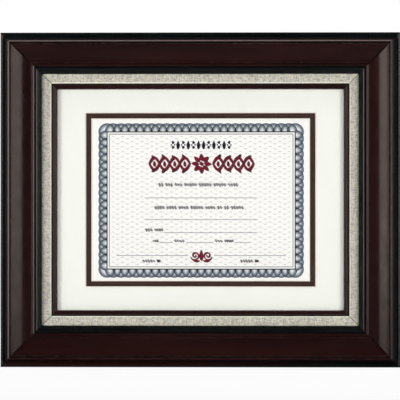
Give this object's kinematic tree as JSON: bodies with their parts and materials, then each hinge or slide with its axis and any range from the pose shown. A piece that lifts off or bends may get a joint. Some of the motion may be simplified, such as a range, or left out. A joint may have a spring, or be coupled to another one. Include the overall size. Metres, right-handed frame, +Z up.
{
  "type": "certificate frame",
  "caption": "Wall frame for a landscape certificate: scooped dark mahogany moulding, linen liner and fillet round a glazed double mat.",
  "frame": {"origin": "the point inside the top of the upper hanging ring where a wall hook bears, in the middle plane of the ring's wire", "axes": "+X along the frame's width, to the right as seen from the front; +Z up; the picture faces -Y and the wall is on the +Y side"},
  "size_m": [0.4814, 0.0324, 0.4024],
  "materials": {
    "mahogany": "dark mahogany lacquer with ebonized edges, satin gloss",
    "fillet_mahogany": "dark mahogany lacquer, satin gloss",
    "pine": "bare sanded wood",
    "linen": "natural linen weave, matte",
    "glass": "clear float glass",
    "mat_white": "off-white mat board with a white core, matte",
    "mat_brown": "dark brown mat board with a white core, matte",
    "paper": "white certificate paper, matte, printed",
    "filler": "corrugated kraft board, matte",
    "hardboard": "brown hardboard, smooth face",
    "nail_steel": "bright steel strip",
    "button_steel": "zinc-plated steel",
    "screw_steel": "yellow zinc-plated steel",
    "hanger_brass": "brass-plated steel",
    "bumper_rubber": "soft rubber, matte"
  },
  "bodies": {
    "frame": {"moulding_bottom": "mahogany", "moulding_left": "mahogany", "moulding_top": "mahogany", "moulding_right": "mahogany", "liner_bottom": "pine", "liner_left": "pine", "liner_top": "pine", "liner_right": "pine", "linen_bottom": "linen", "linen_left": "linen", "linen_top": "linen", "linen_right": "linen", "fillet_bottom": "fillet_mahogany", "fillet_left": "fillet_mahogany", "fillet_top": "fillet_mahogany", "fillet_right": "fillet_mahogany", "glass": "glass", "mat_upper": "mat_white", "mat_lower": "mat_brown", "certificate": "paper", "filler_board": "filler", "backing_board": "hardboard", "moulding_nails": "nail_steel", "liner_nails": "nail_steel", "button_screws": "screw_steel", "strap_top": "hanger_brass", "strap_side": "hanger_brass", "hanger_screws": "screw_steel", "bumper_left": "bumper_rubber", "bumper_right": "bumper_rubber"},
    "button_bottom_left": {"button_bottom_left": "button_steel"},
    "button_bottom_right": {"button_bottom_right": "button_steel"},
    "button_left_low": {"button_left_low": "button_steel"},
    "button_left_high": {"button_left_high": "button_steel"},
    "button_top_left": {"button_top_left": "button_steel"},
    "button_top_right": {"button_top_right": "button_steel"},
    "button_right_low": {"button_right_low": "button_steel"},
    "button_right_high": {"button_right_high": "button_steel"},
    "ring_top": {"ring_top": "hanger_brass"},
    "ring_side": {"ring_side": "hanger_brass"}
  },
  "joints": [
    {"name": "turn_bottom_left", "type": "hinge", "parent": "frame", "child": "button_bottom_left", "pos_m": [-0.095, -0.00125, -0.3382], "axis": [0, 1, 0], "continuous": true},
    {"name": "turn_bottom_right", "type": "hinge", "parent": "frame", "child": "button_bottom_right", "pos_m": [0.095, -0.00125, -0.3382], "axis": [0, 1, 0], "continuous": true},
    {"name": "turn_left_low", "type": "hinge", "parent": "frame", "child": "button_left_low", "pos_m": [-0.1885, -0.00125, -0.2492], "axis": [0, 1, 0], "continuous": true},
    {"name": "turn_left_high", "type": "hinge", "parent": "frame", "child": "button_left_high", "pos_m": [-0.1885, -0.00125, -0.1292], "axis": [0, 1, 0], "continuous": true},
    {"name": "turn_top_left", "type": "hinge", "parent": "frame", "child": "button_top_left", "pos_m": [-0.095, -0.00125, -0.0402], "axis": [0, 1, 0], "continuous": true},
    {"name": "turn_top_right", "type": "hinge", "parent": "frame", "child": "button_top_right", "pos_m": [0.095, -0.00125, -0.0402], "axis": [0, 1, 0], "continuous": true},
    {"name": "turn_right_low", "type": "hinge", "parent": "frame", "child": "button_right_low", "pos_m": [0.1885, -0.00125, -0.2492], "axis": [0, 1, 0], "continuous": true},
    {"name": "turn_right_high", "type": "hinge", "parent": "frame", "child": "button_right_high", "pos_m": [0.1885, -0.00125, -0.1292], "axis": [0, 1, 0], "continuous": true},
    {"name": "swing_ring_top", "type": "hinge", "parent": "frame", "child": "ring_top", "pos_m": [0, 0, -0.011], "axis": [-1, 0, 0], "range_deg": [0, 170]},
    {"name": "swing_ring_side", "type": "hinge", "parent": "frame", "child": "ring_side", "pos_m": [0.2177, 0, -0.1892], "axis": [0, 0, 1], "range_deg": [0, 170]}
  ]
}
